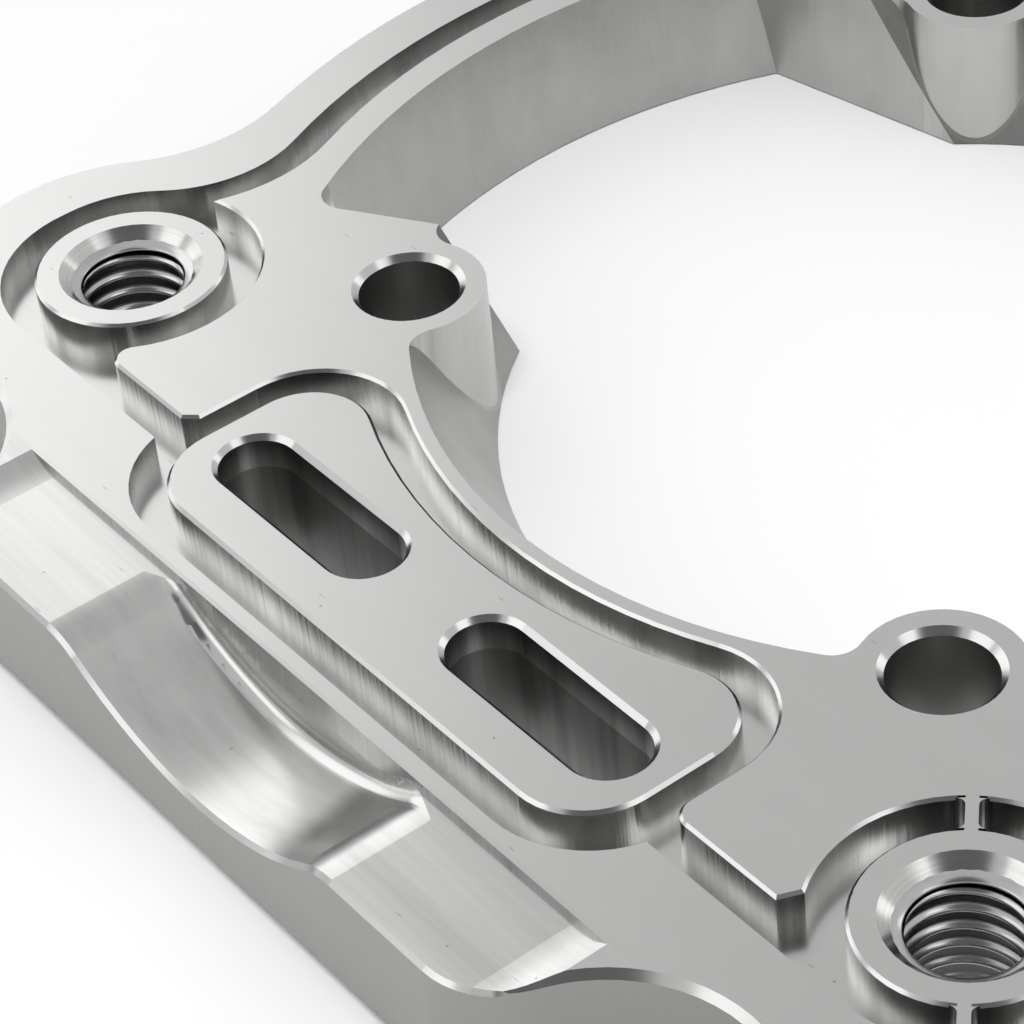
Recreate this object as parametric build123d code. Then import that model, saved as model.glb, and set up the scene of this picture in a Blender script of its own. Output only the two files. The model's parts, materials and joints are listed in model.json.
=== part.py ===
from build123d import *
from math import cos, hypot, radians, sin, sqrt
import os

# A plate that carries an engine cylinder, milled from one block of aluminium.
# Millimetres. The origin is on the bore's axis at the underside, +Z is up towards the gasket face,
# +X runs along the two slots, and the straight rail with the scoop is on the -Y side.

# The stud pitch sets the bore and the bosses. The radii and reaches build outward from the bore.

# Levels above the underside
thickness = 15.6
ledge_drop = 0.6
groove_depth = 3.8
ledge_level = thickness - ledge_drop
floor_level = thickness - groove_depth

# Stud pitch and bore, and the recess at each side of the bore
stud_pitch = 82.0
stud_offset = stud_pitch / 2
bore_inset = 0.583
bore_top_radius = stud_pitch / sqrt(2) - bore_inset
bore_taper = 8.0
bore_bottom_radius = bore_top_radius - bore_taper
recess_depth = 14.8
recess_taper = 3.6
recess_top_radius = bore_top_radius + recess_depth
recess_bottom_radius = recess_top_radius - recess_taper
recess_corner = 3.0
near_wall_angle = 31.0
near_wall_gap = 2.95
far_wall_angle = 10.3
far_wall_gap = 0.2

# Stud holes, each in an upright lobe of the bore's wall
stud_hole_radius = 5.4
stud_chamfer = 0.7
stud_lobe_wall = 2.9
stud_lobe_radius = stud_hole_radius + stud_lobe_wall
stud_lobe_fillet = 3.0

# Bosses with their threaded holes, and the moats around them
boss_outset_x = 24.0
boss_outset_y = 19.5
boss_x = stud_offset + boss_outset_x
boss_y = stud_offset + boss_outset_y
thread_radius = 6.0
countersink_width = 1.8
boss_land = 2.65
moat_width = 3.75
countersink_radius = thread_radius + countersink_width
boss_radius = countersink_radius + boss_land
moat_radius = boss_radius + moat_width
web_width = 1.2
web_angle = 135.0
web_fillet = 0.8

# Gasket face, and the groove around it
face_land = 4.1
face_radius = recess_top_radius + face_land
groove_width = 3.9
groove_blend = 15.0
groove_shift = 1.1
groove_lobe_y = boss_y - groove_shift
face_tip_cut = 3.2
face_tip_round = 2.0
face_corner_cut = 1.4
face_corner_round = 2.2

# Outline of the rim: a ring with four lobes
rim_width = 6.5
rim_radius = face_radius + groove_width + rim_width
lobe_wall = 7.5
lobe_radius = moat_radius + lobe_wall
flank_blend = 18.8
outline_chamfer = 0.75
underside_chamfer = 1.2

# Island with its two slots, and the channel around it
bore_land = 1.7
channel_side = 2.8
channel_far = 3.5
channel_near = 3.5
slot_spacing = 37.7
slot_length = 26.3
slot_width = 8.2
slot_chamfer = 0.55
island_side_land = 3.3
island_far_land = 3.0
island_near_land = 5.8
island_half_width = (slot_spacing + slot_length) / 2 + island_side_land
island_far_radius = bore_top_radius + bore_land + channel_far
slot_reach = island_far_radius + island_far_land + slot_width / 2
island_reach = slot_reach + slot_width / 2 + island_near_land
island_tip_radius = 6.9
island_corner = 8.2
island_chamfer = 0.35
channel_corner = island_corner + channel_side
face_setback = 0.9
face_reach = island_reach + channel_near - channel_corner - face_setback
trough_overhang = 4.5
trough_half_width = island_half_width + trough_overhang
trough_corner = 12.1

# Rail between the near lobes, with its step and scoop
ridge_width = 1.9
step_reach = island_reach + channel_near + ridge_width
step_depth = 0.8
step_runout = 4.5
step_level = ledge_level - step_depth
rail_width = 13.1
rail_reach = step_reach + rail_width
rail_half_length = 44.8
rail_corner = 9.5
rail_edge_break = 0.45
step_overrun = 1.6
step_half_length = rail_half_length + step_overrun
scoop_half_length = 20.8
scoop_depth = 6.6
scoop_roll = 8.5
scoop_fillet = 1.7

deburr = 0.3
past = 1.0
sides = (-1, 1)


def four(shape, x, y):
    return [Pos(side * x, end * y) * shape for side in sides for end in sides]


def slab(sketch, low, high):
    return Pos(0, 0, low) * extrude(sketch, high - low)


def blend_centre(ring, lobe_y, lobe, blend, side, end, flank):
    """Centre of the arc that touches both the ring and a lobe from outside."""
    span = hypot(boss_x, lobe_y)
    from_axis = ring + blend
    from_lobe = lobe + blend
    along = (from_axis**2 - from_lobe**2 + span**2) / (2 * span)
    across = flank * sqrt(from_axis**2 - along**2)
    x = (along * boss_x + across * lobe_y) / span
    y = (along * lobe_y - across * boss_x) / span
    return side * x, end * y


# Each blend as side, end and flank: both flanks of a far lobe, and the outer flank of a near one
flanks = [(side, end, flank) for side in sides for end, flank in ((-1, 1), (1, 1), (1, -1))]


def ring_with_lobes(ring, lobe_y, lobe, blend):
    """A disc and four lobes, with the hollow between them filled up to the blend arc."""
    shape = Circle(ring) + four(Circle(lobe), boss_x, lobe_y)
    for side, end, flank in flanks:
        x, y = blend_centre(ring, lobe_y, lobe, blend, side, end, flank)
        wedge = make_face(Polyline((0, 0), (x, y), (side * boss_x, end * lobe_y), close=True))
        shape += wedge - Pos(x, y) * Circle(blend)
    return shape


def rail_sketch():
    """The rail, joined to the near lobes by hollow arcs centred on the line of its wall."""
    inset = boss_x - rail_half_length
    drop = rail_reach - boss_y
    sweep = (inset**2 + drop**2 - lobe_radius**2) / (2 * (lobe_radius + inset))
    touch_x = boss_x - (inset - sweep) * lobe_radius / (lobe_radius + sweep)
    rail = Pos(0, -(rail_reach + boss_y) / 2) * Rectangle(2 * touch_x, drop)
    for side in sides:
        rail -= Pos(side * (rail_half_length + sweep), -rail_reach) * Circle(sweep)
    return fillet(rail.vertices().group_by(Axis.Y)[0], rail_corner)


def island_block(half_width, reach, far_radius, tip, corner):
    """A block hollowed on its far side by an arc about the bore, with rounded tips and corners."""
    block = Pos(0, -reach / 2) * Rectangle(2 * half_width, reach) - Circle(far_radius)
    block = fillet(block.vertices().group_by(Axis.Y)[0], corner)
    return fillet(block.vertices().group_by(Axis.Y)[-1], tip)


def island():
    return island_block(island_half_width, island_reach, island_far_radius, island_tip_radius,
                        island_corner)


def island_channel():
    return island_block(island_half_width + channel_side, island_reach + channel_near,
                        island_far_radius - channel_far, island_tip_radius + channel_side,
                        channel_corner)


def trough():
    """The wide near end of the channel around the island."""
    height = trough_corner + past
    box = Pos(0, height / 2 - island_reach - channel_near) * Rectangle(2 * trough_half_width, height)
    return fillet(box.vertices().group_by(Axis.Y)[0], trough_corner)


def basin():
    """All that lies below the ledge: groove, moats, channels, and the ground of the gasket face."""
    reach = boss_y + moat_radius
    strip = Pos(0, -reach / 2) * Rectangle(2 * boss_x, reach)
    moats = four(Circle(moat_radius), boss_x, boss_y)
    ring = ring_with_lobes(face_radius + groove_width, groove_lobe_y, moat_radius, groove_blend)
    return ring + moats + strip + trough()


def gasket_face():
    """The raised face around the bore, cut back by the groove, the moats and the island's channel."""
    overlap = face_reach - boss_y + moat_radius / 2
    face = ring_with_lobes(face_radius, groove_lobe_y, moat_radius - groove_width,
                           groove_blend + groove_width)
    face += Pos(0, overlap / 2 - face_reach) * Rectangle(2 * boss_x, overlap)
    face -= four(Circle(moat_radius), boss_x, boss_y)
    face -= island_channel()
    left_tip, left_corner, right_corner, right_tip = face.vertices().group_by(Axis.Y)[0].sort_by(Axis.X)
    face = fillet(left_tip, face_tip_round)
    face = chamfer(nearest(face, left_corner), face_corner_cut)
    face = fillet(nearest(face, right_corner), face_corner_round)
    return chamfer(nearest(face, right_tip), face_tip_cut)


def nearest(sketch, point):
    return sketch.vertices().sort_by_distance(point)[0]


def raised(sketch, edge):
    """A block up to the gasket level, with its top edges broken."""
    block = slab(sketch, 0, thickness)
    return chamfer(block.faces().sort_by(Axis.Z)[-1].edges(), edge)


def webs():
    """Two thin webs across the moat of the boss on the right, filleted where they meet its walls."""
    moat = Circle(moat_radius) - Circle(boss_radius)
    bar = Rectangle(2 * moat_radius + past, web_width)
    roots = moat - fillet((moat - bar).vertices(), web_fillet)
    across = bar & Pos(deburr, 0) * Circle(moat_radius)
    return slab(Pos(boss_x, -boss_y) * Rot(0, 0, web_angle) * (roots + across), 0, thickness)


def ledge(outline):
    """The rim and the rail above the ground, chamfered along the outline."""
    block = slab(outline - basin(), floor_level, ledge_level)
    return chamfer(block.faces().sort_by(Axis.Z)[-1].outer_wire().edges(), outline_chamfer)


def ground(outline):
    """The full plate up to the floor of the pockets, chamfered around the underside."""
    block = slab(outline, 0, floor_level)
    return chamfer(block.faces().sort_by(Axis.Z)[0].edges(), underside_chamfer)


def body():
    """The plate before its openings: ground, ledge, and all that rises to the gasket level."""
    outline = ring_with_lobes(rim_radius, boss_y, lobe_radius, flank_blend) + rail_sketch()
    bosses = four(raised(Circle(boss_radius), deburr), boss_x, boss_y)
    top = raised(gasket_face(), deburr) + raised(island(), island_chamfer) + bosses + webs()
    return ground(outline) + ledge(outline) + top


def frustum(bottom, top):
    return Pos(0, 0, thickness / 2) * Cone(bottom, top, thickness)


def bore():
    """The tapered bore, held off by an upright lobe around each stud hole."""
    plan = Circle(bore_top_radius) - four(Circle(stud_lobe_radius), stud_offset, stud_offset)
    on_circle = [v for v in plan.vertices() if hypot(v.X, v.Y) > bore_top_radius - deburr]
    corners = [v for v in on_circle if abs(v.Y) > deburr]
    prism = slab(fillet(corners, stud_lobe_fillet), 0, thickness)
    return prism & frustum(bore_bottom_radius, bore_top_radius)


def wall_line(side, end, angle, gap):
    """Two points of a recess wall, which passes a stud's lobe at a gap and slopes out to the near side."""
    slope = radians(angle)
    off = stud_lobe_radius + gap
    x = stud_offset - end * off * sin(slope)
    y = end * (stud_offset - off * cos(slope))
    runs = (-bore_bottom_radius / 3, recess_top_radius / 2)
    return [(side * (x + run * cos(slope)), y - run * sin(slope)) for run in runs]


def recess(side):
    """A side recess: two straight walls and a tapered arc, with rounded corners."""
    near = wall_line(side, -1, near_wall_angle, near_wall_gap)
    far = wall_line(side, 1, far_wall_angle, far_wall_gap)
    plan = make_face(Polyline(near[0], near[1], far[1], far[0], close=True)) & Circle(recess_top_radius)
    outer = plan.vertices().sort_by(Axis((0, 0, 0), (side, 0, 0)))[-2:]
    prism = slab(fillet(outer, recess_corner), 0, thickness)
    return prism & frustum(recess_bottom_radius, recess_top_radius)


def opening():
    """The bore with both side recesses."""
    return bore() + recess(-1) + recess(1)


def hole(radius, mouth_radius):
    """A through hole with a 45 degree countersink at the top."""
    flare = mouth_radius - radius
    mouth = Pos(0, 0, thickness - flare / 2) * Cone(radius, mouth_radius, flare)
    return Pos(0, 0, thickness / 2) * Cylinder(radius, thickness + 2 * past) + mouth


def slot():
    """A through slot with a chamfered mouth."""
    mouth_plan = SlotOverall(slot_length + 2 * slot_chamfer, slot_width + 2 * slot_chamfer)
    mouth = Pos(0, 0, thickness) * extrude(mouth_plan, -slot_chamfer, taper=45)
    return slab(SlotOverall(slot_length, slot_width), -past, thickness + past) + mouth


def along_rail(profile):
    """A profile drawn across the plate, carried from the ledge's near edge out past the rail's wall."""
    return Pos(0, -step_reach, 0) * Rot(90, 0, 0) * extrude(profile, rail_reach - step_reach + past)


def step():
    """The shallow step along the rail. Its floor runs out to the ledge in an arc at both ends."""
    flat_half = step_half_length - step_runout
    lid = Polyline((-step_half_length, ledge_level), (-step_half_length, thickness),
                   (step_half_length, thickness), (step_half_length, ledge_level))
    runs = [TangentArc((side * flat_half, step_level), (side * step_half_length, ledge_level),
                       tangent=(side, 0))
            for side in sides]
    return along_rail(make_face([Line((-flat_half, step_level), (flat_half, step_level)), lid, *runs]))


def scoop():
    """The round hollow in the rail's wall, rolled over onto the step at its ends."""
    radius = (scoop_half_length**2 + scoop_depth**2) / (2 * scoop_depth)
    metal = Pos(0, step_level / 2) * Rectangle(2 * rail_half_length, step_level)
    metal -= Pos(0, step_level - scoop_depth + radius) * Circle(radius)
    metal = fillet(metal.vertices().group_by(Axis.Y)[-1].sort_by(Axis.X)[1:3], scoop_roll)
    start, end = metal.vertices().group_by(Axis.Y)[-1].sort_by(Axis.X)[1:3]
    cutter = along_rail(Pos(0, thickness / 2) * Rectangle(end.X - start.X, thickness) - metal)
    back = cutter.faces().sort_by(Axis.Y)[-1].edges().filter_by(GeomType.CIRCLE)
    return fillet(back, scoop_fillet)


def break_rail_edge(plate):
    """Breaks the edge along the top of the rail's wall, through the scoop."""
    wall = plate.faces().sort_by(Axis.Y)[0]
    return chamfer(wall.edges().filter_by(Axis.Z, reverse=True).sort_by(Axis.Z)[1:], rail_edge_break)


def adapter_plate():
    plate = body() - opening()
    plate -= four(hole(stud_hole_radius, stud_hole_radius + stud_chamfer), stud_offset, stud_offset)
    plate -= four(hole(thread_radius, countersink_radius), boss_x, boss_y)
    plate -= [Pos(side * slot_spacing / 2, -slot_reach) * slot() for side in sides]
    return break_rail_edge(plate - step() - scoop())


os.makedirs("parts", exist_ok=True)
export_step(adapter_plate(), "parts/adapter_plate.step")
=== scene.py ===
import json
import math

import bpy
import numpy as np
from mathutils import Matrix, Vector


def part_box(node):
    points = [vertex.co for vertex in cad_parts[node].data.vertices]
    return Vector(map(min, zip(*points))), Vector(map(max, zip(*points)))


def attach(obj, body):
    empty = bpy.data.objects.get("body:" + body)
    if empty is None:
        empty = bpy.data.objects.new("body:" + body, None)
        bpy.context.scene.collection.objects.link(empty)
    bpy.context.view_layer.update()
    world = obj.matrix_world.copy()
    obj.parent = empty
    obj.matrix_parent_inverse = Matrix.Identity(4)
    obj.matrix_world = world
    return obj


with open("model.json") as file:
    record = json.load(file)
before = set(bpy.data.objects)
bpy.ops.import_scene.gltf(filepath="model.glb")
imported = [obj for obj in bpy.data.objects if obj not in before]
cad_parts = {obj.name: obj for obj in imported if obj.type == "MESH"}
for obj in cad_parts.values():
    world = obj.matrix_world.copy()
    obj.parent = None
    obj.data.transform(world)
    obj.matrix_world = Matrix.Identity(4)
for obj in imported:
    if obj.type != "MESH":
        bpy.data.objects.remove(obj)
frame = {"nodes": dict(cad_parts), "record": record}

bl_info = {
    "name": "Cylinder base adapter",
    "version": (1, 0, 0),
    "blender": (4, 5, 0),
    "location": "3D View > Sidebar > Adapter",
    "description": "Finishes the milled plate, cuts its threads and sets the studio",
    "category": "Object",
}

MM = 0.001
PLATE = "adapter_plate"
LOW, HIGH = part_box(PLATE)

# Holes, from the record, in millimetres
MOUNTS = {mount["name"]: mount for mount in frame["record"]["mounts"]}
BOSSES = MOUNTS["threaded_bosses"]["dims"]
STUDS = MOUNTS["stud_holes"]["dims"]
SLOTS = MOUNTS["slots"]["dims"]
BOSS_X = BOSSES["spacing_x_mm"] / 2
BOSS_Y = BOSSES["spacing_y_mm"] / 2
STUD_XY = STUDS["spacing_x_mm"] / 2
SLOTS_Y = MOUNTS["slots"]["pos_m"][1] / MM

# Limits between the finishes and the painted shade, in millimetres. Each lies just beside the walls that it
# sets apart.
MARGIN = 0.2
SLOT_HALF_WIDTH = SLOTS["hole_r_mm"] + MARGIN
SLOTS_HALF_SPAN = (SLOTS["spacing_x_mm"] + SLOTS["slot_length_mm"]) / 2 + MARGIN
THREAD_HOLE_RADIUS = BOSSES["hole_r_mm"] + 0.3
COUNTERSINK_RADIUS = 8.0
STUD_HOLE_RADIUS = STUDS["hole_r_mm"] + 1.0
STUD_LOBE_RADIUS = 8.6
BORE_RADIUS = 58.3
RECESS_RADIUS = 73.0
RECESS_HALF_SPAN = 36.0
RIM_INNER_RADIUS = 86.2
LOBE_INNER_RADIUS = 21.2
POCKET_FLOOR = 11.7
POCKET_FOOT = 11.9
POCKET_TOP = 15.0
WEB_REACH = 18.0
WEB_FADE = (2.0, 7.0)

# Limits on the rail, in millimetres: places along Y from its back to its front, and half lengths along X
RAIL_BACK = -84.5
STEP_WALL_FRONT = -85.6
SCOOP_BACK = -86.3
STEP_FRONT = -86.4
SCOOP_FRONT = -97.6
STEP_HALF_SPAN = 48.0
SCOOP_HALF_SPAN = 36.0
SCOOP_END_FRONT = -96.5
SCOOP_END_SLANT = 0.3
SCOOP_END_FADE_IN = (12.0, 16.0)
SCOOP_END_FADE_OUT = (20.3, 21.5)

# How far up a normal points on flats, on walls and on the bore's cone
FLAT_NORMALS = (0.8, 0.97)
WALL_NORMALS = (0.47, 0.6)
CONE_NORMAL = 0.3

# Grain of the patterns: repeats per millimetre along X, Y and Z, for the rings out from the boss, along X
# and along Y
CHATTER = (1.6, 1.6, 0.06)
PATCHES = (0.16, 0.16, 0.1)
CLOUDS = (0.05, 0.05, 0.05)
STREAKS = (0.012, 0.3, 0.3)
FURROWS = (0.35, 0.35, 0.02)
RINGS = (3.0, 0.05, 0.05)
DOTS = (0.05, 0.05, 0.05)
NICKS = (0.02, 0.2, 0.2)
THREAD_MARKS = (0.3, 0.3, 6.0)
DOT_SIZE = 0.009
NICK_SIZE = 0.012

# How strongly the patterns change the tone
CLOUD_STRENGTH = 0.08
FACE_STREAK_STRENGTH = 0.05
RAIL_STREAK_STRENGTH = 0.5
RING_STRENGTH = 0.5
POCKET_CHATTER_STRENGTH = 0.35
BORE_CHATTER_STRENGTH = 0.1
BORE_PATCH_STRENGTH = 0.3
THREAD_MARK_STRENGTH = 0.2
CHATTER_BUMP_STRENGTH = 0.25
CHATTER_DEPTH = 0.15 * MM

# Tones, as shares of the colour
# Painted light at the foot of the pocket walls and painted shade towards their top edge
POCKET_FOOT_LIGHT_TONE = 1.25
POCKET_TOP_SHADE_TONE = 0.5
# Painted light on the scoop's wall and painted shade on the step's wall, on the rail
SCOOP_WALL_LIGHT_TONE = 1.35
STEP_WALL_SHADE_TONE = 0.7
# Painted shade at the right end of the scoop
SCOOP_END_SHADE_TONE = 0.48
# Painted shade on the pocket walls beside the webs
WEB_SIDE_SHADE_TONE = 0.4
BORE_TONE = 1.05
STUD_LOBE_GAIN = 0.15
CONE_LOSS = 0.17
# Painted shade on the hole's wall between the thread's ridges
THREAD_GAP_SHADE_TONE = 0.35
THREAD_TONE = 0.92
# Painted shade on the slots' walls
SLOT_SHADE_TONE = 0.65
SPECK_TONE = 0.65

# Section of a thread's ridge in metres, the slope that cuts it off below, and the angle of a sharp edge
SUNK = 0.05 * MM
HALF_CREST = 0.1 * MM
CREST_ROUNDING = 0.08 * MM
CREST_HALF_FLAT = 0.07 * MM
RIDGE_TOP_GAP = 0.35 * MM
UNDERSIDE_SLOPE = 0.6
SHARP_ANGLE = math.radians(50)

# Section of a lip, in metres: out from the hole's wall and up from the foot of the countersink
LIP_SECTION = np.array([
    (0.05, -0.1), (0.75, 0.65), (0.6, 0.6), (0.1, 0.3),
    (-0.3, 0.12), (-0.42, -0.02), (-0.42, -0.12), (0.05, -0.45),
]) * MM

# Lamps that the metal mirrors, and one that lights the floor alone. Angles are in degrees, with azimuth
# turned from +X towards +Y, and lengths in metres.
MIRRORED_LAMPS = {
    "front_left_light": dict(azimuth=245, elevation=33, distance=2.0, width=1.2, height=0.8, radiance=0.6),
    "front_right_light": dict(azimuth=20, elevation=43, distance=2.0, width=0.8, height=0.6, radiance=0.6),
    "back_right_light": dict(azimuth=80, elevation=16, distance=2.0, width=0.7, height=0.8, radiance=0.6),
}
FLOOR_LAMP = dict(azimuth=326, elevation=66, distance=1.6, width=1.0, height=0.36, radiance=13.8)
FLOOR_SIZE = 12.0
FLOOR_GAP = 0.2 * MM


class ThreadSizes(bpy.types.PropertyGroup):
    pitch: bpy.props.FloatProperty(
        name="Pitch", description="Rise of the thread in one turn", default=2.2 * MM, unit="LENGTH"
    )
    start: bpy.props.FloatProperty(
        name="Start",
        description="Height of the first turn above the underside",
        default=0.75 * MM,
        unit="LENGTH",
    )
    depth: bpy.props.FloatProperty(
        name="Depth", description="Depth of the thread", default=0.55 * MM, unit="LENGTH"
    )
    major_radius: bpy.props.FloatProperty(
        name="Major radius",
        description="Radius at the roots of the thread",
        default=BOSSES["hole_r_mm"] * MM,
        unit="LENGTH",
    )
    countersink_depth: bpy.props.FloatProperty(
        name="Countersink depth",
        description="Depth of the 45 degree mouth",
        default=1.8 * MM,
        unit="LENGTH",
    )
    steps: bpy.props.IntProperty(name="Steps", description="Points along one turn", default=96)


class Finish(bpy.types.PropertyGroup):
    bright: bpy.props.FloatVectorProperty(
        name="Bright",
        description="Colour of the flat faces, broken edges and threads",
        subtype="COLOR",
        default=(0.83, 0.83, 0.82),
    )
    # The pocket, shaded_satin and side colours are painted shade: the walls are coloured darker than the
    # faces.
    pocket: bpy.props.FloatVectorProperty(
        name="Pocket",
        description="Colour of the pocket walls",
        subtype="COLOR",
        default=(0.56, 0.56, 0.55),
    )
    shaded_satin: bpy.props.FloatVectorProperty(
        name="Shaded_satin",
        description="Colour of the walls inside the bore",
        subtype="COLOR",
        default=(0.42, 0.42, 0.41),
    )
    side: bpy.props.FloatVectorProperty(
        name="Side",
        description="Colour of the outer walls",
        subtype="COLOR",
        default=(0.31, 0.31, 0.30),
    )
    face_roughness: bpy.props.FloatProperty(
        name="Face roughness", description="Roughness of the flat faces", subtype="FACTOR", default=0.2
    )
    pocket_roughness: bpy.props.FloatProperty(
        name="Pocket roughness", description="Roughness of the pocket walls", subtype="FACTOR", default=0.18
    )
    through_roughness: bpy.props.FloatProperty(
        name="Through roughness",
        description="Roughness of the walls inside the bore and of the outer walls",
        subtype="FACTOR",
        default=0.3,
    )
    edge_roughness: bpy.props.FloatProperty(
        name="Edge roughness",
        description="Roughness of the broken edges and the countersinks",
        subtype="FACTOR",
        default=0.18,
    )
    slot_roughness: bpy.props.FloatProperty(
        name="Slot roughness",
        description="Roughness that the walls of the slots have on top of the others'",
        subtype="FACTOR",
        default=0.15,
    )
    thread_roughness: bpy.props.FloatProperty(
        name="Thread roughness", description="Roughness of the threads", subtype="FACTOR", default=0.2
    )


class Studio(bpy.types.PropertyGroup):
    floor: bpy.props.FloatVectorProperty(
        name="Floor", description="Colour of the floor", subtype="COLOR", default=(0.95, 0.95, 0.95)
    )
    floor_roughness: bpy.props.FloatProperty(
        name="Floor roughness", description="Roughness of the floor", subtype="FACTOR", default=0.8
    )
    surround: bpy.props.FloatProperty(
        name="Surround", description="Strength of the grey surround", default=0.53
    )
    glow: bpy.props.FloatProperty(
        name="Glow", description="Strength of the bright part of the surround", default=1.14
    )
    dim: bpy.props.FloatProperty(
        name="Dim", description="Strength of the dim part high behind the plate", default=0.45
    )
    gloom: bpy.props.FloatProperty(
        name="Gloom", description="Strength of the dark part above the camera", default=0.11
    )
    azimuth: bpy.props.FloatProperty(
        name="Azimuth",
        description="Direction the camera looks, turned from +Y towards -X",
        default=math.radians(55.96),
        subtype="ANGLE",
    )
    elevation: bpy.props.FloatProperty(
        name="Elevation",
        description="Height of the camera above the horizon",
        default=math.radians(39.688),
        subtype="ANGLE",
    )
    roll: bpy.props.FloatProperty(
        name="Roll",
        description="Turn of the camera about its own axis",
        default=math.radians(-6.146),
        subtype="ANGLE",
    )
    distance: bpy.props.FloatProperty(
        name="Distance", description="From the camera to its target", default=359.97 * MM, unit="LENGTH"
    )
    target: bpy.props.FloatVectorProperty(
        name="Target",
        description="Point the camera looks at",
        default=(-4.069 * MM, -55.912 * MM, 15.6 * MM),
        subtype="TRANSLATION",
        unit="LENGTH",
    )
    lens: bpy.props.FloatProperty(
        name="Lens", description="Focal length", default=129.864, unit="CAMERA"
    )


class Wire:
    """A socket's value. Arithmetic on it adds the Math nodes that work it out."""

    def __init__(self, tree, socket):
        self.tree = tree
        self.socket = socket

    def math(self, operation, *values):
        return add_node(self.tree, "ShaderNodeMath", {"operation": operation}, dict(enumerate(values)))

    def __add__(self, other):
        return self.math("ADD", self, other)

    __radd__ = __add__

    def __sub__(self, other):
        return self.math("SUBTRACT", self, other)

    def __rsub__(self, other):
        return self.math("SUBTRACT", other, self)

    def __mul__(self, other):
        return self.math("MULTIPLY", self, other)

    __rmul__ = __mul__

    def __pow__(self, other):
        return self.math("POWER", self, other)

    def __abs__(self):
        return self.math("ABSOLUTE", self)

    def __gt__(self, other):
        return self.math("GREATER_THAN", self, other)

    def __lt__(self, other):
        return self.math("LESS_THAN", self, other)

    def least(self, other):
        return self.math("MINIMUM", self, other)

    def most(self, other):
        return self.math("MAXIMUM", self, other)

    def ease(self, start, end, low=0.0, high=1.0):
        """Goes smoothly from low to high as the value goes from start to end."""
        inputs = {0: self, 1: start, 2: end, 3: low, 4: high}
        return add_node(self.tree, "ShaderNodeMapRange", {"interpolation_type": "SMOOTHSTEP"}, inputs)


def add_node(tree, kind, settings=None, inputs=None, output=0):
    """Adds a node, with its settings first and then the values or links of its sockets."""
    node = tree.nodes.new(kind)
    for name, value in (settings or {}).items():
        setattr(node, name, value)
    for key, value in (inputs or {}).items():
        if isinstance(value, Wire):
            tree.links.new(value.socket, node.inputs[key])
        else:
            node.inputs[key].default_value = value
    return Wire(tree, node.outputs[output]) if node.outputs else None


def new_material(name):
    """An empty node material, and the tree that it is drawn in."""
    material = bpy.data.materials.new(name)
    material.use_nodes = True
    material.node_tree.nodes.clear()
    return material, material.node_tree


def close_material(tree, inputs):
    """Links a Principled shader with these inputs to the material's output."""
    shader = add_node(tree, "ShaderNodeBsdfPrincipled", None, inputs)
    add_node(tree, "ShaderNodeOutputMaterial", None, {"Surface": shader})


def split(tree, vector):
    """The x, y and z of a vector."""
    return [add_node(tree, "ShaderNodeSeparateXYZ", None, {0: vector}, axis) for axis in range(3)]


def scaled(tree, vector, factor):
    """A vector or colour times a number."""
    return add_node(tree, "ShaderNodeVectorMath", {"operation": "SCALE"}, {0: vector, "Scale": factor})


def stretched(tree, vector, grain):
    """A vector with each axis times its own grain."""
    return add_node(tree, "ShaderNodeVectorMath", {"operation": "MULTIPLY"}, {0: vector, 1: grain})


def noise(tree, vector, detail=3.0, roughness=0.55):
    """Noise around 0, on a vector whose grain is already set."""
    inputs = {"Vector": vector, "Scale": 1.0, "Detail": detail, "Roughness": roughness}
    return add_node(tree, "ShaderNodeTexNoise", None, inputs) - 0.5


def specks(tree, here, grain, size):
    """1 in small scattered marks, which fade out at their size."""
    inputs = {"Vector": stretched(tree, here, grain), "Scale": 1.0}
    cells = add_node(tree, "ShaderNodeTexVoronoi", {"voronoi_dimensions": "2D"}, inputs)
    return cells.ease(size / 2, size, 1.0, 0.0)


def mix_colours(tree, factor, first, second):
    """The first colour where the factor is 0 and the second where it is 1."""
    inputs = {"Factor": factor, 6: first, 7: second}
    return add_node(tree, "ShaderNodeMix", {"data_type": "RGBA"}, inputs, 2)


def within(mask, tone):
    """A tone where the mask is 1, and 1 where it is 0."""
    return 1 + mask * (tone - 1)


def planar(x, y):
    """Distance from the origin in the plane."""
    return (x * x + y * y) ** 0.5


def boss_distance(x, y):
    """Distance from the axis of the nearest threaded hole."""
    return planar(abs(x) - BOSS_X, abs(y) - BOSS_Y)


def stud_distance(x, y):
    """Distance from the axis of the nearest stud hole."""
    return planar(abs(x) - STUD_XY, abs(y) - STUD_XY)


def slot_walls(x, y):
    """1 in the two slots."""
    return (abs(y - SLOTS_Y) < SLOT_HALF_WIDTH).least(abs(x) < SLOTS_HALF_SPAN)


def bore_walls(x, y):
    """1 at the walls of the bore, its recesses and the stud holes."""
    radius = planar(x, y)
    recess = (radius < RECESS_RADIUS).least(abs(y) < RECESS_HALF_SPAN)
    return (radius < BORE_RADIUS).most(recess).most(stud_distance(x, y) < STUD_HOLE_RADIUS)


def outer_walls(x, y, normal_x, normal_y):
    """1 at the walls of the outline, and 0 at those of the rail's step and scoop."""
    outward = (x * normal_x + y * normal_y) > 0.0
    scoop = (abs(x) < SCOOP_HALF_SPAN).least(y > SCOOP_FRONT)
    step = (abs(x) < STEP_HALF_SPAN).least(y > STEP_FRONT)
    on_rail = (y < RAIL_BACK).least(scoop.most(step))
    past_face = (planar(x, y) > RIM_INNER_RADIUS).least(boss_distance(x, y) > LOBE_INNER_RADIUS)
    return past_face.least(outward).least(1 - on_rail)


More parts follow.
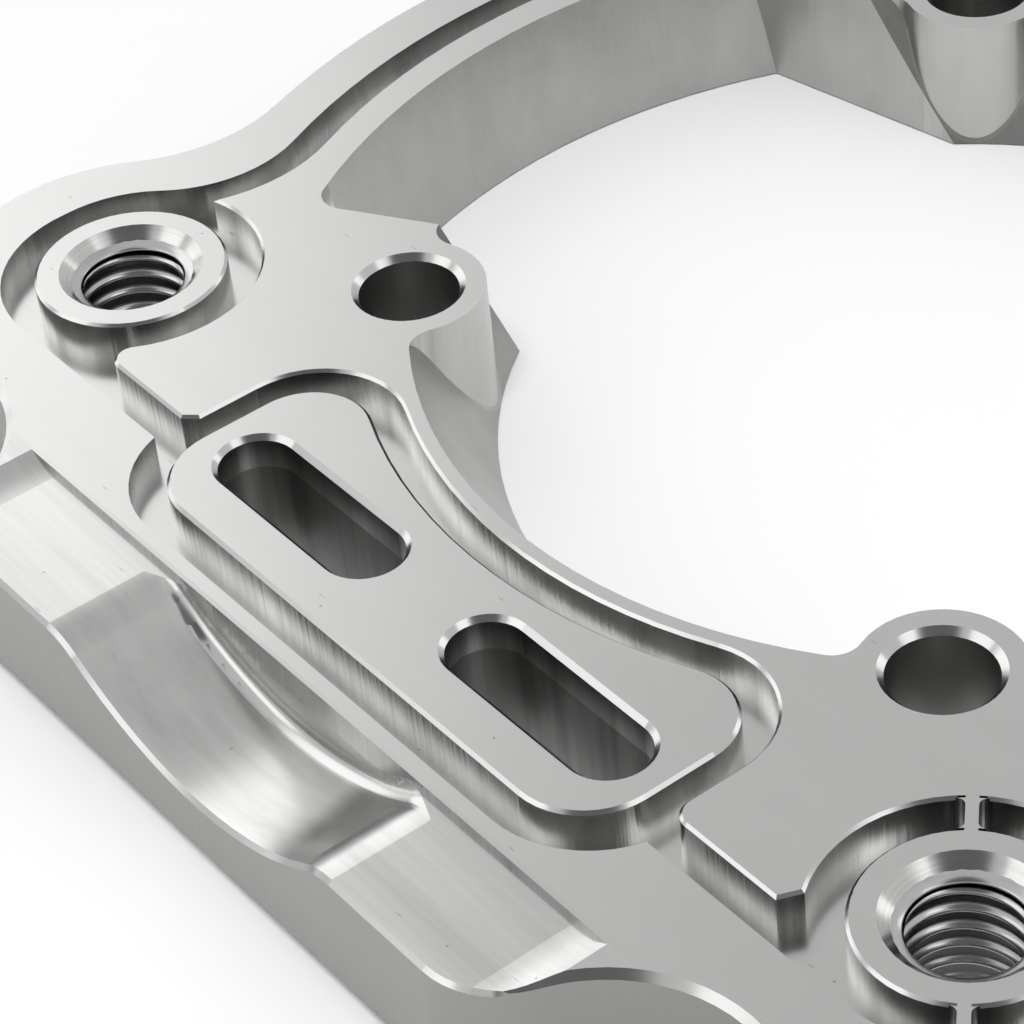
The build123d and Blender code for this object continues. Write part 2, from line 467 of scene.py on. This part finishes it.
def shade_by_webs(x, y):
    """1 round the near right boss close to its webs, fading to 0 away from them, where the pocket walls get
    painted shade.

    The webs lie on a diagonal through the boss's axis, where the offsets in x and y add up to 0.
    """
    off_x = x - BOSS_X
    off_y = y + BOSS_Y
    from_webs = abs((off_x + off_y) * math.sqrt(0.5))
    return from_webs.ease(*WEB_FADE, 1.0, 0.0) * (planar(off_x, off_y) < WEB_REACH)


def scoop_end_shade(x, y):
    """1 where painted shade darkens the right end of the scoop, up to its rolled rim. It begins sooner
    towards the back.
    """
    from_middle = x + (y - SCOOP_END_FRONT) * SCOOP_END_SLANT
    fade = from_middle.ease(*SCOOP_END_FADE_IN) * x.ease(*SCOOP_END_FADE_OUT, 1.0, 0.0)
    return fade * (y < SCOOP_BACK)


def pocket_tone(x, y, z, chatter, patches):
    """Tone of the pocket walls, painted with shade and light: brighter at their foot, darker towards their
    top edge and beside the webs, and on the rail brighter on the scoop's wall and darker on the step's
    wall.
    """
    shade = z.ease(POCKET_FOOT, POCKET_TOP, POCKET_FOOT_LIGHT_TONE, POCKET_TOP_SHADE_TONE)
    rail_tone = SCOOP_WALL_LIGHT_TONE + (y > STEP_WALL_FRONT) * (STEP_WALL_SHADE_TONE - SCOOP_WALL_LIGHT_TONE)
    tone = shade + (y < RAIL_BACK) * (rail_tone - shade)
    tone = tone * (1 + chatter * POCKET_CHATTER_STRENGTH + patches)
    return tone * within(shade_by_webs(x, y), WEB_SIDE_SHADE_TONE)


def bore_tone(x, y, normal_z, chatter, patches):
    """Tone of the walls inside the bore: brighter round the stud holes, darker on the bore's cone."""
    tone = BORE_TONE + chatter * BORE_CHATTER_STRENGTH + patches * BORE_PATCH_STRENGTH
    by_studs = stud_distance(x, y) < STUD_LOBE_RADIUS
    on_cone = normal_z > CONE_NORMAL
    return tone + by_studs * STUD_LOBE_GAIN - on_cone * CONE_LOSS


def face_tone(tree, here, x, y, flat, slope):
    """Tone of the faces: faint clouds, streaks along X on the rail, and rings in the countersinks."""
    from_boss = boss_distance(x, y)
    clouds = noise(tree, stretched(tree, here, CLOUDS), detail=4.0)
    streaks = noise(tree, stretched(tree, here, STREAKS), detail=4.0, roughness=0.65)
    about_boss = add_node(tree, "ShaderNodeCombineXYZ", None, {0: from_boss, 1: x, 2: y})
    rings = noise(tree, stretched(tree, about_boss, RINGS))
    streaks = streaks * flat * (FACE_STREAK_STRENGTH + (y < RAIL_BACK) * RAIL_STREAK_STRENGTH)
    rings = rings * slope * (from_boss < COUNTERSINK_RADIUS) * RING_STRENGTH
    return 1 + clouds * CLOUD_STRENGTH + streaks + rings


def milled_aluminium(finish):
    """Bright milled metal. Its walls are coloured darker than the faces as painted shade, darkest where the
    cutter went right through.

    Flats face up, walls stand upright, and slopes are the broken edges and cones in between. Each wall
    belongs to the outline, to the bore and through holes, or to a pocket.
    """
    material, tree = new_material("milled_aluminium")
    here = scaled(tree, add_node(tree, "ShaderNodeTexCoord", output="Object"), 1 / MM)
    x, y, z = split(tree, here)
    normal_x, normal_y, normal_z = split(tree, add_node(tree, "ShaderNodeNewGeometry", output="Normal"))
    flat = normal_z.ease(*FLAT_NORMALS)
    wall = normal_z.ease(*WALL_NORMALS, 1.0, 0.0)
    slope = (1 - wall) * (1 - flat)
    outer = outer_walls(x, y, normal_x, normal_y) * wall
    inner = bore_walls(x, y).most(z < POCKET_FLOOR) * wall * (1 - outer)
    pocket = wall * (1 - outer) * (1 - inner)
    in_slot = slot_walls(x, y) * wall
    in_thread = (boss_distance(x, y) < THREAD_HOLE_RADIUS) * wall

    chatter = noise(tree, stretched(tree, here, CHATTER))
    patches = noise(tree, stretched(tree, here, PATCHES), detail=2.0)
    furrows = noise(tree, stretched(tree, here, FURROWS), detail=2.0)
    marks = specks(tree, here, DOTS, DOT_SIZE).most(specks(tree, here, NICKS, NICK_SIZE))
    tone = face_tone(tree, here, x, y, flat, slope)
    # The pocket walls' tone carries painted shade and painted light
    tone = tone * within(pocket, pocket_tone(x, y, z, chatter, patches))
    tone = tone * within(inner, bore_tone(x, y, normal_z, chatter, patches))
    # Painted shade on the hole's wall between the thread's ridges and on the slots' walls, whose furrows
    # are cutter marks
    tone = tone * within(in_thread, THREAD_GAP_SHADE_TONE) * within(in_slot, SLOT_SHADE_TONE + furrows)
    # Painted shade at the right end of the scoop; the specks are nicks
    tone = tone * within(marks * flat, SPECK_TONE) * within(scoop_end_shade(x, y) * (1 - wall), SCOOP_END_SHADE_TONE)

    # Painted shade: the pocket, bore and outer walls take darker colours than the faces.
    base = mix_colours(tree, pocket, (*finish.bright, 1), (*finish.pocket, 1))
    base = mix_colours(tree, inner, base, (*finish.shaded_satin, 1))
    base = mix_colours(tree, outer, base, (*finish.side, 1))
    roughness = flat * finish.face_roughness + pocket * finish.pocket_roughness
    roughness = roughness + (inner + outer) * finish.through_roughness
    roughness = roughness + slope * finish.edge_roughness + in_slot * finish.slot_roughness
    bump = {"Strength": CHATTER_BUMP_STRENGTH, "Distance": CHATTER_DEPTH, "Height": chatter * wall}
    close_material(tree, {
        "Base Color": scaled(tree, base, tone),
        "Metallic": 1.0,
        "Roughness": roughness,
        "Normal": add_node(tree, "ShaderNodeBump", None, bump),
    })
    return material


def thread_metal(finish):
    """Bright cut thread, with fine marks that follow the turns."""
    material, tree = new_material("thread_metal")
    here = scaled(tree, add_node(tree, "ShaderNodeTexCoord", output="Object"), 1 / MM)
    tone = THREAD_TONE + noise(tree, stretched(tree, here, THREAD_MARKS)) * THREAD_MARK_STRENGTH
    colour = scaled(tree, finish.bright, tone)
    close_material(tree, {"Base Color": colour, "Metallic": 1.0, "Roughness": finish.thread_roughness})
    return material


def closed_mesh(name, points, ring=False):
    """A mesh from sections of points, each joined to the next, capped at both ends or closed in a ring."""
    along, around = points.shape[:2]
    grid = np.arange(along * around).reshape(along, around)
    section = grid if ring else grid[:-1]
    following = np.roll(grid, -1, 0)[: len(section)]
    corners = [section, np.roll(section, -1, 1), np.roll(following, -1, 1), following]
    faces = np.stack(corners, -1).reshape(-1, 4).tolist()
    if not ring:
        faces += [grid[0, ::-1].tolist(), grid[-1].tolist()]
    mesh = bpy.data.meshes.new(name)
    mesh.from_pydata(points.reshape(-1, 3), [], faces)
    mesh.validate()
    mesh.update()
    mesh.polygons.foreach_set("use_smooth", np.ones(len(mesh.polygons), bool))
    mesh.set_sharp_from_angle(angle=SHARP_ANGLE)
    return mesh


def turned(centre, angle, radius, height):
    """Points at a radius and an angle round a hole's axis, and at a height."""
    return np.stack(
        [centre[0] + radius * np.cos(angle), centre[1] + radius * np.sin(angle), height], -1
    )


def thread_points(centre, sizes):
    """The ridge of an internal thread: its section, carried up a helix.

    At an angle t a point of the section keeps its radius and lies pitch * t / 2 pi above its first height.
    The section has 45 degree flanks and a narrow rounded crest, and is sunk a little into the hole's wall.
    The helix has a turn to spare below and above. Heights are held between the underside, where the ridge
    is cut off at a slope, and the lip.
    """
    root = sizes.major_radius
    crest = root - sizes.depth
    shoulder = crest + CREST_ROUNDING
    half_section = np.array([
        (root + SUNK, sizes.depth + HALF_CREST),
        (root, sizes.depth + HALF_CREST),
        (shoulder, HALF_CREST + CREST_ROUNDING),
        (crest, CREST_HALF_FLAT),
    ])
    section = np.concatenate([half_section * (1, -1), half_section[::-1]])
    turns = (HIGH.z - LOW.z) / sizes.pitch + 2
    count = int(turns * sizes.steps) + 1
    angle = np.linspace(0, turns * 2 * np.pi, count)[:, None]
    radius = np.broadcast_to(section[:, 0], (count, len(section)))
    rise = sizes.start + sizes.pitch * (angle / (2 * np.pi) - 1)
    floor = LOW.z + (root - radius).clip(0) * UNDERSIDE_SLOPE
    roof = HIGH.z - sizes.countersink_depth - RIDGE_TOP_GAP
    return turned(centre, angle, radius, np.clip(LOW.z + rise + section[:, 1], floor, roof))


def lip_points(centre, sizes):
    """The lip at the foot of the countersink: its section, carried once round the hole's axis.

    The section leaves the cone at 45 degrees, runs in at a shallower slope, turns down near the thread's
    crest and goes back under to the wall.
    """
    angle = np.linspace(0, 2 * np.pi, sizes.steps, endpoint=False)[:, None]
    shape = (sizes.steps, len(LIP_SECTION))
    radius = np.broadcast_to(sizes.major_radius + LIP_SECTION[:, 0], shape)
    height = np.broadcast_to(HIGH.z - sizes.countersink_depth + LIP_SECTION[:, 1], shape)
    return turned(centre, angle, radius, height)


def new_piece(mesh, material, name):
    """Links a finished mesh as a piece that rides on the plate."""
    piece = bpy.data.objects.new(name, mesh)
    bpy.context.scene.collection.objects.link(piece)
    mesh.materials.append(material)
    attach(piece, "root")


class ADAPTER_OT_finish_plate(bpy.types.Operator):
    """Give the plate its milled finish"""

    bl_idname = "adapter.finish_plate"
    bl_label = "Finish plate"

    def execute(self, context):
        plate = frame["nodes"][PLATE]
        plate.data.materials.clear()
        plate.data.materials.append(milled_aluminium(context.scene.adapter_finish))
        return {"FINISHED"}


class ADAPTER_OT_cut_threads(bpy.types.Operator):
    """Cut the thread in each of the four bosses"""

    bl_idname = "adapter.cut_threads"
    bl_label = "Cut threads"

    def execute(self, context):
        sizes = context.scene.adapter_thread
        metal = thread_metal(context.scene.adapter_finish)
        for side, across in ((-1, "left"), (1, "right")):
            for end, along in ((-1, "near"), (1, "far")):
                centre = (side * BOSS_X * MM, end * BOSS_Y * MM)
                ridge = closed_mesh("ridge", thread_points(centre, sizes))
                new_piece(ridge, metal, f"{along}_{across}_thread")
                lip = closed_mesh("lip", lip_points(centre, sizes), ring=True)
                new_piece(lip, metal, f"{along}_{across}_thread_lip")
        return {"FINISHED"}


def lay_floor(studio):
    """A plain pale sheet, centred under the plate."""
    material, tree = new_material("floor")
    close_material(tree, {"Base Color": (*studio.floor, 1), "Roughness": studio.floor_roughness})
    half = FLOOR_SIZE / 2
    height = LOW.z - FLOOR_GAP
    corners = [(-half, -half, height), (half, -half, height), (half, half, height), (-half, half, height)]
    mesh = bpy.data.meshes.new("floor")
    mesh.from_pydata(corners, [], [(0, 1, 2, 3)])
    mesh.materials.append(material)
    floor = bpy.data.objects.new("floor", mesh)
    bpy.context.scene.collection.objects.link(floor)


def direction(azimuth, elevation):
    """Unit vector from an azimuth, turned from +X towards +Y, and an elevation, both in degrees."""
    turn = math.radians(azimuth)
    rise = math.radians(elevation)
    return Vector((math.cos(turn) * math.cos(rise), math.sin(turn) * math.cos(rise), math.sin(rise)))


def soft_panel(name, azimuth, elevation, distance, width, height, radiance):
    """A rectangular soft light that faces the plate. Its power is radiance times pi times its area."""
    data = bpy.data.lights.new(name, "AREA")
    data.shape = "RECTANGLE"
    data.size = width
    data.size_y = height
    data.energy = radiance * math.pi * width * height
    lamp = bpy.data.objects.new(name, data)
    away = direction(azimuth, elevation)
    lamp.location = away * distance
    lamp.rotation_mode = "QUATERNION"
    lamp.rotation_quaternion = away.to_track_quat("Z", "Y")
    bpy.context.scene.collection.objects.link(lamp)
    return lamp


def set_camera(studio):
    """The camera, from the direction it looks in, its target, distance, roll and lens."""
    data = bpy.data.cameras.new("camera")
    data.sensor_width = 36.0
    data.lens = studio.lens
    data.clip_start = 0.01
    data.clip_end = 50.0
    camera = bpy.data.objects.new("camera", data)
    bpy.context.scene.collection.objects.link(camera)
    turn, rise, roll = studio.azimuth, studio.elevation, studio.roll
    forward = Vector((-math.sin(turn) * math.cos(rise), math.cos(turn) * math.cos(rise), -math.sin(rise)))
    right = Vector((math.cos(turn), math.sin(turn), 0))
    up = right.cross(forward)
    rolled_right = math.cos(roll) * right + math.sin(roll) * up
    rolled_up = math.cos(roll) * up - math.sin(roll) * right
    place = Vector(studio.target) - forward * studio.distance
    rotation = Matrix((rolled_right, rolled_up, -forward)).transposed()
    camera.matrix_world = Matrix.Translation(place) @ rotation.to_4x4()
    bpy.context.scene.camera = camera


def surround_light(studio):
    """A grey surround, bright beyond the plate's left side, dim high behind it, dark above the camera."""
    world = bpy.data.worlds.new("surround")
    world.use_nodes = True
    tree = world.node_tree
    tree.nodes.clear()
    ray = add_node(tree, "ShaderNodeTexCoord", output="Generated")

    def around(azimuth, elevation, inner, outer):
        """1 within an inner angle of a direction, fading to 0 at an outer angle, in degrees."""
        inputs = {0: ray, 1: direction(azimuth, elevation)}
        nearness = add_node(tree, "ShaderNodeVectorMath", {"operation": "DOT_PRODUCT"}, inputs, 1)
        return nearness.ease(math.cos(math.radians(outer)), math.cos(math.radians(inner)))

    strength = studio.surround
    for spot, part in (
        (around(azimuth=182, elevation=25, inner=23.5, outer=35.5), studio.glow),
        (around(azimuth=115, elevation=66, inner=10, outer=28), studio.dim),
        (around(azimuth=322, elevation=50, inner=20, outer=31), studio.gloom),
    ):
        strength = strength + spot * (part - strength)
    light = add_node(tree, "ShaderNodeBackground", None, {"Color": (1, 1, 1, 1), "Strength": strength})
    add_node(tree, "ShaderNodeOutputWorld", None, {"Surface": light})
    bpy.context.scene.world = world


class ADAPTER_OT_set_studio(bpy.types.Operator):
    """Lay the floor and place the lights and the camera"""

    bl_idname = "adapter.set_studio"
    bl_label = "Set studio"

    def execute(self, context):
        studio = context.scene.adapter_studio
        lay_floor(studio)
        surround_light(studio)
        for name, lamp in MIRRORED_LAMPS.items():
            soft_panel(name, **lamp)
        floor_light = soft_panel("floor_light", **FLOOR_LAMP)
        floor_light.visible_glossy = False
        set_camera(studio)
        context.scene.view_settings.view_transform = "Standard"
        return {"FINISHED"}


class ADAPTER_PT_panel(bpy.types.Panel):
    bl_label = "Cylinder base adapter"
    bl_idname = "ADAPTER_PT_panel"
    bl_space_type = "VIEW_3D"
    bl_region_type = "UI"
    bl_category = "Adapter"

    def draw(self, context):
        for name in STEPS:
            self.layout.operator(name)
        for group in GROUPS:
            settings = getattr(context.scene, group)
            for key in settings.__annotations__:
                self.layout.prop(settings, key)


STEPS = ("adapter.finish_plate", "adapter.cut_threads", "adapter.set_studio")
GROUPS = {"adapter_thread": ThreadSizes, "adapter_finish": Finish, "adapter_studio": Studio}
CLASSES = (
    ThreadSizes,
    Finish,
    Studio,
    ADAPTER_OT_finish_plate,
    ADAPTER_OT_cut_threads,
    ADAPTER_OT_set_studio,
    ADAPTER_PT_panel,
)


def register():
    for made in CLASSES:
        bpy.utils.register_class(made)
    for name, group in GROUPS.items():
        setattr(bpy.types.Scene, name, bpy.props.PointerProperty(type=group))


def unregister():
    for name in GROUPS:
        delattr(bpy.types.Scene, name)
    for made in reversed(CLASSES):
        bpy.utils.unregister_class(made)


def main():
    """Registers the add-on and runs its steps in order."""
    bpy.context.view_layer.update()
    register()
    bpy.ops.adapter.finish_plate()
    bpy.ops.adapter.cut_threads()
    bpy.ops.adapter.set_studio()


if __name__ == "__main__":
    main()
